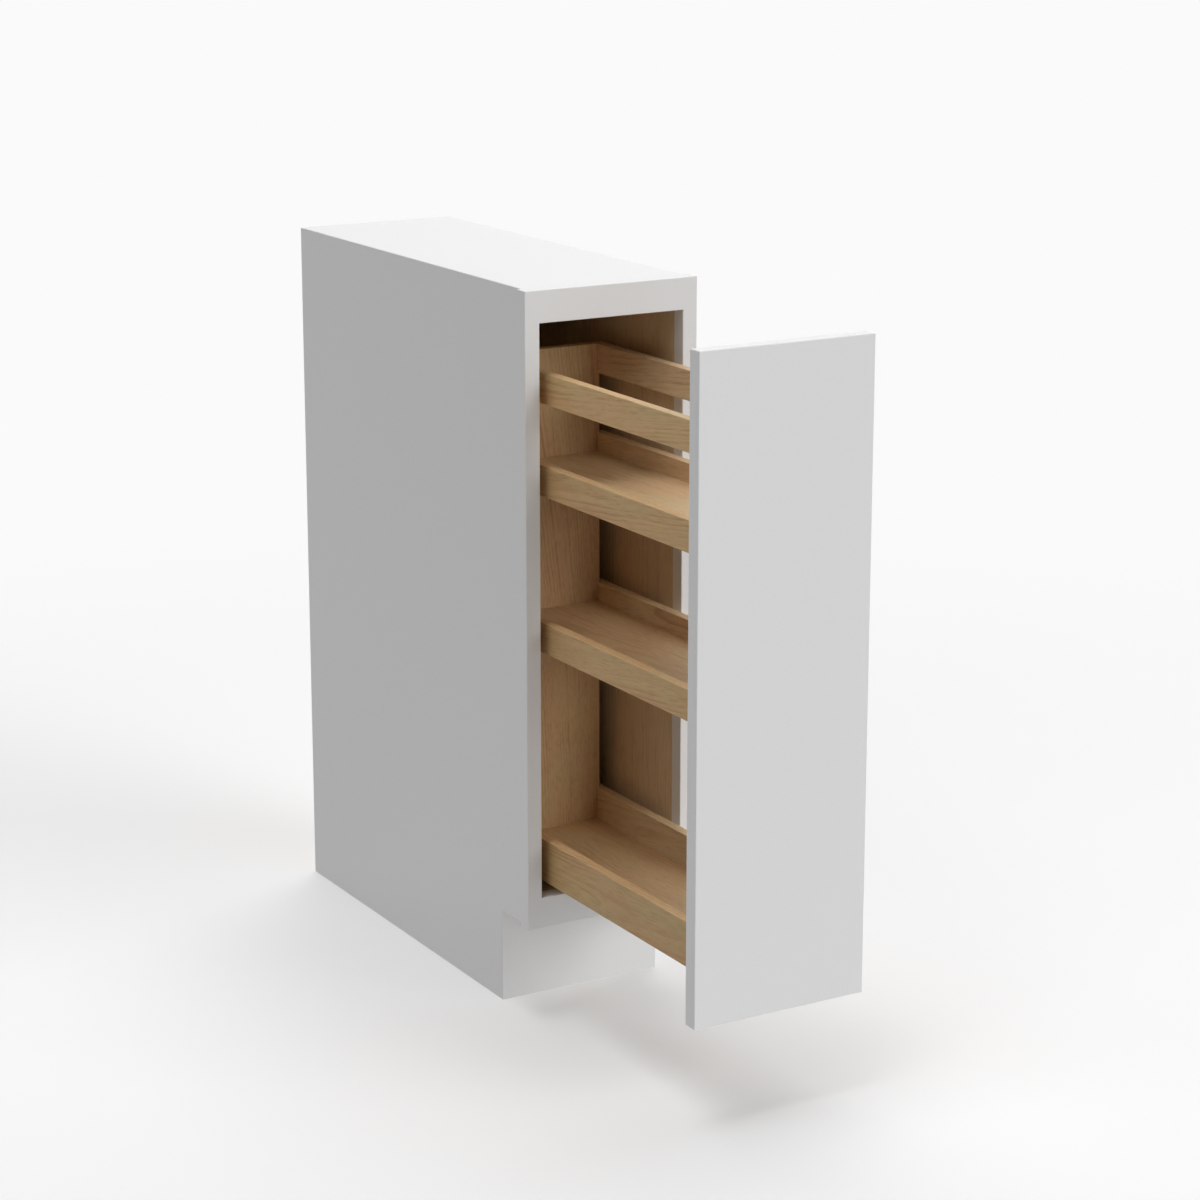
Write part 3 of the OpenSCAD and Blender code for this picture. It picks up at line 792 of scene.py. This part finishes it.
class CABINET_OT_face_frame(Operator):
    """Builds the stiles and rails of the face frame, with eased edges and closed joints"""
    bl_idname = "cabinet.face_frame"
    bl_label = "Face frame"
    bl_options = {"REGISTER", "UNDO"}

    def execute(self, context):
        radius = context.scene.cabinet.edges.painted
        inner_x, back_y, top_z = high_of("top_rail")
        front_y = low_of("top_rail").y
        opening_low, opening_high = high_of("bottom_rail").z, low_of("top_rail").z

        def is_joint(middle):
            """Edges of the inner face, and the one that meets the top panel."""
            meets_top = middle.y > back_y - FLUSH and middle.z > top_z - FLUSH
            return meets_top or middle.x < inner_x + FLUSH

        pattern = add_block("stile_pattern", *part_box("right_stile"))
        ease(pattern, radius, is_joint)
        round_corner(pattern, Vector((inner_x, front_y, opening_low)),
                     Vector((inner_x, front_y, opening_high)), radius)
        for hand, side in HANDS.items():
            stile = copy_of(pattern, f"{hand}_stile_finished", is_mirrored=side < 0)
            stile.data.materials.append(white_lacquer())
            finish_piece(stile, f"{hand}_stile")
        discard(pattern)
        for node in ("top_rail", "bottom_rail"):
            rail = add_block(f"{node}_finished", *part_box(node))
            ease(rail, radius,
                 lambda middle: abs(middle.x) > inner_x - FLUSH or middle.y > back_y - FLUSH)
            rail.data.materials.append(white_lacquer())
            finish_piece(rail, node)
        return {"FINISHED"}


class CABINET_OT_door(Operator):
    """Builds the slab door with eased edges"""
    bl_idname = "cabinet.door"
    bl_label = "Door"
    bl_options = {"REGISTER", "UNDO"}

    def execute(self, context):
        door = add_block("door_slab_finished", *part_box("door_slab"))
        ease(door, context.scene.cabinet.edges.painted)
        door.data.materials.append(white_lacquer())
        finish_piece(door, "door_slab")
        return {"FINISHED"}


class CABINET_OT_rack_ends(Operator):
    """Builds the rack's end boards, housed for the shelves, the front one drilled for the door screws"""
    bl_idname = "cabinet.rack_ends"
    bl_label = "Rack end boards"
    bl_options = {"REGISTER", "UNDO"}

    # Radii of the door screws' heads and shanks
    head_radius = 0.0036
    shank_radius = 0.002

    def execute(self, context):
        for node in ("rack_front_board", "rack_back_board"):
            board = add_block(f"{node}_finished", *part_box(node))
            ease(board, context.scene.cabinet.edges.wooden)
            for shelf in ("tray_board", "lower_shelf", "upper_shelf"):
                house(board, shelf)
            if node == "rack_front_board":
                self.drill_screw_holes(board)
            board.data.materials.append(veneer(node))
            finish_piece(board, node)
        return {"FINISHED"}

    def drill_screw_holes(self, board):
        """Countersunk holes at mid-height of each space of the rack."""
        face = high_of("door_screws").y
        sink = face - (self.head_radius - self.shank_radius)
        front = low_of("rack_front_board").y - PAST
        screw_x = high_of("door_screws").x - self.head_radius
        for below, above in (("tray_board", "lower_shelf"), ("lower_shelf", "upper_shelf"),
                             ("upper_shelf", "guard_rail_left")):
            z = (high_of(below).z + low_of(above).z) / 2
            for side in HANDS.values():
                drill(board, side * screw_x, z, sink, face, self.shank_radius, self.head_radius)
                drill(board, side * screw_x, z, front, face, self.shank_radius, self.shank_radius)


class CABINET_OT_shelves(Operator):
    """Builds the tray board and the two shelves"""
    bl_idname = "cabinet.shelves"
    bl_label = "Tray and shelves"
    bl_options = {"REGISTER", "UNDO"}

    def execute(self, context):
        low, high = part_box("tray_board")
        pattern = add_block("shelf_pattern", low, high)
        ease(pattern, context.scene.cabinet.edges.joint,
             lambda middle: middle.z > low.z + FLUSH or abs(middle.x) < high.x - FLUSH)
        for node in ("tray_board", "lower_shelf", "upper_shelf"):
            shelf = copy_of(pattern, f"{node}_finished", low_of(node) - low)
            shelf.data.materials.append(veneer(node))
            finish_piece(shelf, node)
        discard(pattern)
        return {"FINISHED"}


class CABINET_OT_rack_rails(Operator):
    """Builds the eight rails of the rack, rabbeted over its end boards, with their top faces painted
    lighter as painted light from above
    """
    bl_idname = "cabinet.rack_rails"
    bl_label = "Rack rails"
    bl_options = {"REGISTER", "UNDO"}

    def execute(self, context):
        patterns = {node: self.model_rail(node, context.scene.cabinet.edges.wooden)
                    for node in ("tray_rail_right", "guard_rail_right")}
        for row in RAIL_ROWS:
            model = "tray_rail_right" if row == "tray" else "guard_rail_right"
            shift = low_of(f"{row}_rail_right") - low_of(model)
            for hand, side in HANDS.items():
                node = f"{row}_rail_{hand}"
                rail = copy_of(patterns[model], f"{node}_finished", shift, is_mirrored=side < 0)
                self.veneer_rail(rail, row, hand)
                finish_piece(rail, node)
        for pattern in patterns.values():
            discard(pattern)
        return {"FINISHED"}

    def model_rail(self, node, radius):
        """A right-hand rail, of which the left-hand one is the mirror."""
        rail = add_block("rail_pattern", *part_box(node))
        ease(rail, radius)
        for end in ("rack_front_board", "rack_back_board"):
            house(rail, end)
        return rail

    def veneer_rail(self, rail, row, hand):
        """Veneers a rail from its own part of the trunk with painted shade and light in its colour, and
        paints its top faces lighter as painted light.
        """
        node = f"{row}_rail_{hand}"
        wood = RAIL_ROWS[row]
        across, along, up = wood["heart"]
        heart = middle_of(node) + Vector((HANDS[hand] * across, along, HANDS[hand] * up))
        # Painted shade and light: the lower rows are painted darker, and the right-hand rails lighter where
        # their inner faces lie in shade
        face = natural_wood(f"{node}_veneer", "Y", heart, wood["lean"], paleness=RAIL_PAINTED_PALENESS[hand],
                            warmth=RAIL_WARMTH, painted_light=wood[hand])
        # Painted light: the top faces get a paler, lighter copy of the veneer for the light that falls on
        # them from above
        painted_top_light = natural_wood(f"{node}_painted_lit_top", "Y", heart, wood["lean"],
                            paleness=RAIL_PAINTED_TOP_PALENESS[hand], painted_light=wood["edge"])
        rail.data.materials.append(face)
        paint_faces(rail, painted_top_light, lambda normal: normal.z > FACING)


class CABINET_OT_dowels(Operator):
    """Finishes the dowels of the face frame and the rack in natural wood"""
    bl_idname = "cabinet.dowels"
    bl_label = "Dowels"
    bl_options = {"REGISTER", "UNDO"}

    def execute(self, context):
        for node in ("frame_dowels", "rail_dowels", "shelf_dowels"):
            dress(node, veneer(node))
        return {"FINISHED"}


class CABINET_OT_runners(Operator):
    """Finishes the runner sections in zinc plated steel"""
    bl_idname = "cabinet.runners"
    bl_label = "Runners"
    bl_options = {"REGISTER", "UNDO"}

    def execute(self, context):
        zinc = plated_steel("Y")
        for hand in HANDS:
            for section in ("cabinet", "middle", "rack"):
                dress(f"{hand}_{section}_runner", zinc)
        return {"FINISHED"}


class CABINET_OT_ball_cages(Operator):
    """Finishes the ball cages in plain sheet and the balls in polished steel"""
    bl_idname = "cabinet.ball_cages"
    bl_label = "Ball cages and balls"
    bl_options = {"REGISTER", "UNDO"}

    def execute(self, context):
        look = context.scene.cabinet.hardware
        sheet = drawn_steel("cage_sheet", look.sheet, roughness=0.42, along="Y")
        polished = drawn_steel("ball_polished", look.balls, roughness=0.16, along="Z", scratch=0.04)
        for hand in HANDS:
            for level in ("lower", "upper"):
                dress(f"{hand}_{level}_cage", sheet)
                dress(f"{hand}_{level}_balls", polished)
        return {"FINISHED"}


class CABINET_OT_fasteners(Operator):
    """Finishes the screws and nails in zinc plated steel, and the door bumpers in soft rubber"""
    bl_idname = "cabinet.fasteners"
    bl_label = "Screws, nails and bumpers"
    bl_options = {"REGISTER", "UNDO"}

    def execute(self, context):
        zinc = plated_steel("Z")
        for node in ("door_screws", "back_nails", "runner_floor_screws", "runner_tray_screws"):
            dress(node, zinc)
        dress("door_bumpers", bumper_rubber())
        return {"FINISHED"}


class CABINET_OT_stage(Operator):
    """Builds the floor, the backdrop, the soft lamps and the camera"""
    bl_idname = "cabinet.stage"
    bl_label = "Stage"
    bl_options = {"REGISTER", "UNDO"}

    # Side of the floor, how fast the clouds of its paper change in a metre, and their share of its light
    floor_size = 40
    cloud_pace = 3
    cloud_shade = 0.99
    # Middle of the cabinet, at which the lamps point
    centre = Vector((0, -0.45, 0.45))
    # Distance of the lamps' objects from it, which changes nothing in their light
    lamp_distance = 4
    # Name, side and height in degrees, spread in degrees and strength of each soft lamp
    lamps = (
        ("top_lamp", 150, 70, 40, 1.10),
        ("left_high_lamp", -90, 80, 20, 0.68),
        ("left_lamp", -90, 60, 25, 0.28),
        ("front_left_lamp", -60, 40, 30, 0.39),
        ("front_lamp", 15, 30, 30, 0.38),
        ("front_right_lamp", 30, 20, 38, 1.25),
        ("front_low_lamp", 0, 12, 22, 0.10),
        ("back_right_lamp", 135, 30, 45, 0.56),
    )
    # Place of the camera, and its turns down from level and to the right of straight ahead in degrees
    camera_place = (-1.7712, -3.6208, 1.4163)
    camera_down = 13.533
    camera_right = 30.234

    def execute(self, context):
        look = context.scene.cabinet.stage
        context.scene.view_settings.view_transform = "Standard"
        self.add_floor(look)
        self.light_world(context, look)
        for name, side, height, spread, strength in self.lamps:
            self.add_lamp(name, side, height, spread, strength * look.lamps)
        self.add_camera(context, look)
        return {"FINISHED"}

    def sees_backdrop(self, tree):
        """1 for rays that show the backdrop: the camera's, mirrored and see-through ones."""
        path = add_node(tree, "ShaderNodeLightPath")
        seen = math_node(tree, "MAXIMUM", path.outputs["Is Camera Ray"], path.outputs["Is Glossy Ray"])
        return math_node(tree, "MAXIMUM", seen, path.outputs["Is Transmission Ray"])

    def glow(self, tree, colour, level):
        """Even light of a colour."""
        return add_node(tree, "ShaderNodeEmission", {"Color": (*colour, 1), "Strength": level}).outputs[0]

    def add_floor(self, look):
        """Pale paper that fades to the backdrop, and that lights the object from below evenly."""
        deselect_all()
        bpy.ops.mesh.primitive_plane_add(size=self.floor_size, location=(0, 0, 0))
        floor = bpy.context.active_object
        floor.name = "studio_floor"
        material, tree, shader = new_material("studio_floor_paper")
        place = object_place(tree)
        clouds = noise(tree, place, self.cloud_pace)
        paper = mix_colours(tree, clouds, look.floor, shaded(look.floor, self.cloud_shade))
        link(tree, paper, shader, "Base Color")
        shader.inputs["Roughness"].default_value = 0.9
        shader.inputs["Specular IOR Level"].default_value = 0.1
        white = self.glow(tree, look.backdrop, 1.0)
        below_centre = (self.centre.x, self.centre.y, 0)
        distance = length_of(tree, vector_node(tree, "SUBTRACT", place, below_centre))
        veil = remap(tree, distance, (look.fade_start, look.fade_end), look.veil, 1.0)
        shown = add_node(tree, "ShaderNodeMixShader", {0: veil, 1: shader.outputs[0], 2: white}).outputs[0]
        bounce = self.glow(tree, (1, 1, 1), look.bounce)
        mixed = add_node(tree, "ShaderNodeMixShader", {0: self.sees_backdrop(tree), 1: bounce, 2: shown})
        output = next(node for node in tree.nodes if node.type == "OUTPUT_MATERIAL")
        link(tree, mixed.outputs[0], output, "Surface")
        floor.data.materials.append(material)

    def light_world(self, context, look):
        """Backdrop that shows behind the object and sends no light onto it."""
        world = bpy.data.worlds.new("studio_world")
        world.use_nodes = True
        context.scene.world = world
        tree = world.node_tree
        tree.nodes.clear()
        dark = add_node(tree, "ShaderNodeBackground", {"Color": (1, 1, 1, 1), "Strength": 0.0})
        seen = add_node(tree, "ShaderNodeBackground", {"Color": (*look.backdrop, 1), "Strength": 1.0})
        mixed = add_node(tree, "ShaderNodeMixShader",
                         {0: self.sees_backdrop(tree), 1: dark.outputs[0], 2: seen.outputs[0]})
        output = add_node(tree, "ShaderNodeOutputWorld")
        link(tree, mixed.outputs[0], output, "Surface")

    def add_lamp(self, name, side, height, spread, strength):
        """Soft distant lamp. Side is 0 in front and grows to the right, and height is above the floor."""
        turn, rise = math.radians(side), math.radians(height)
        toward = Vector((math.sin(turn) * math.cos(rise), -math.cos(turn) * math.cos(rise), math.sin(rise)))
        deselect_all()
        bpy.ops.object.light_add(type="SUN", location=self.centre + toward * self.lamp_distance,
                                 rotation=(-toward).to_track_quat("-Z", "Y").to_euler())
        lamp = bpy.context.active_object
        lamp.name = name
        lamp.data.angle = math.radians(spread)
        lamp.data.energy = strength

    def add_camera(self, context, look):
        """Camera at the photograph's place and viewing angle."""
        deselect_all()
        tilt, turn = math.radians(90 - self.camera_down), math.radians(-self.camera_right)
        bpy.ops.object.camera_add(location=self.camera_place, rotation=(tilt, 0, turn))
        camera = bpy.context.active_object
        camera.name = "studio_camera"
        camera.data.lens = look.lens
        camera.data.shift_y = look.shift
        context.scene.camera = camera


STEPS = (
    CABINET_OT_stage,
    CABINET_OT_side_panels,
    CABINET_OT_top_panel,
    CABINET_OT_floor_and_back,
    CABINET_OT_toe_kick,
    CABINET_OT_face_frame,
    CABINET_OT_door,
    CABINET_OT_rack_ends,
    CABINET_OT_shelves,
    CABINET_OT_rack_rails,
    CABINET_OT_dowels,
    CABINET_OT_runners,
    CABINET_OT_ball_cages,
    CABINET_OT_fasteners,
)
GROUPS = (EdgeSettings, LacquerSettings, WoodSettings, HardwareSettings, StageSettings, CabinetSettings)


class CABINET_PT_finish(Panel):
    """Sizes, colours and steps of the cabinet's finish"""
    bl_idname = "CABINET_PT_finish"
    bl_label = "Cabinet finish"
    bl_space_type = "VIEW_3D"
    bl_region_type = "UI"
    bl_category = "Cabinet"

    def draw(self, context):
        layout = self.layout
        for name in ("edges", "lacquer", "wood", "hardware", "stage"):
            group = getattr(context.scene.cabinet, name)
            box = layout.box()
            box.label(text=name.title())
            for key in group.__annotations__:
                box.prop(group, key)
        for step in STEPS:
            layout.operator(step.bl_idname)


CLASSES = (*GROUPS, *STEPS, CABINET_PT_finish)


def register():
    """Registers the classes and gives the scene its settings."""
    for made in CLASSES:
        bpy.utils.register_class(made)
    bpy.types.Scene.cabinet = PointerProperty(type=CabinetSettings)


def unregister():
    """Takes the settings and the classes away again."""
    del bpy.types.Scene.cabinet
    for made in reversed(CLASSES):
        bpy.utils.unregister_class(made)


def main():
    register()
    for step in STEPS:
        group, name = step.bl_idname.split(".")
        getattr(getattr(bpy.ops, group), name)()
    deselect_all()


if __name__ == "__main__":
    main()
